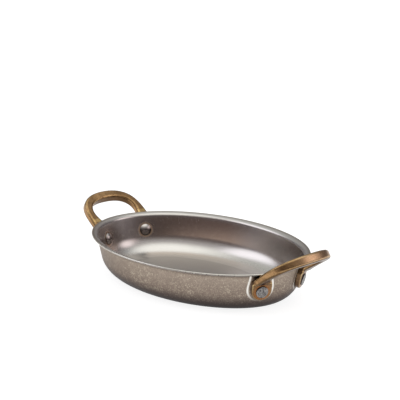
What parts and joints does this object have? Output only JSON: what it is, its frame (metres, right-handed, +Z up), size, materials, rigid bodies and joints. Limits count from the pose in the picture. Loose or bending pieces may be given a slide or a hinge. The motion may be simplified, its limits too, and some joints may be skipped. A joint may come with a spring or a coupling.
{
  "type": "oval serving dish",
  "caption": "Small oval serving dish of pressed steel with a flared lip, sloping wall and flat base, and a cast brass loop handle riveted to each end.",
  "frame": {"origin": "middle of the underside, on the surface that the dish stands on", "axes": "+X along the dish to the right handle, +Y across it to the rear, +Z up"},
  "size_m": [0.2032, 0.12, 0.0419],
  "materials": {
    "steel": "stonewashed",
    "brass": "antique patina",
    "rivets": "dull, hammered"
  },
  "bodies": {
    "root": {"dish_body": "steel", "left_handle": "brass", "right_handle": "brass", "left_front_rivet": "rivets", "left_rear_rivet": "rivets", "right_front_rivet": "rivets", "right_rear_rivet": "rivets"}
  },
  "joints": []
}
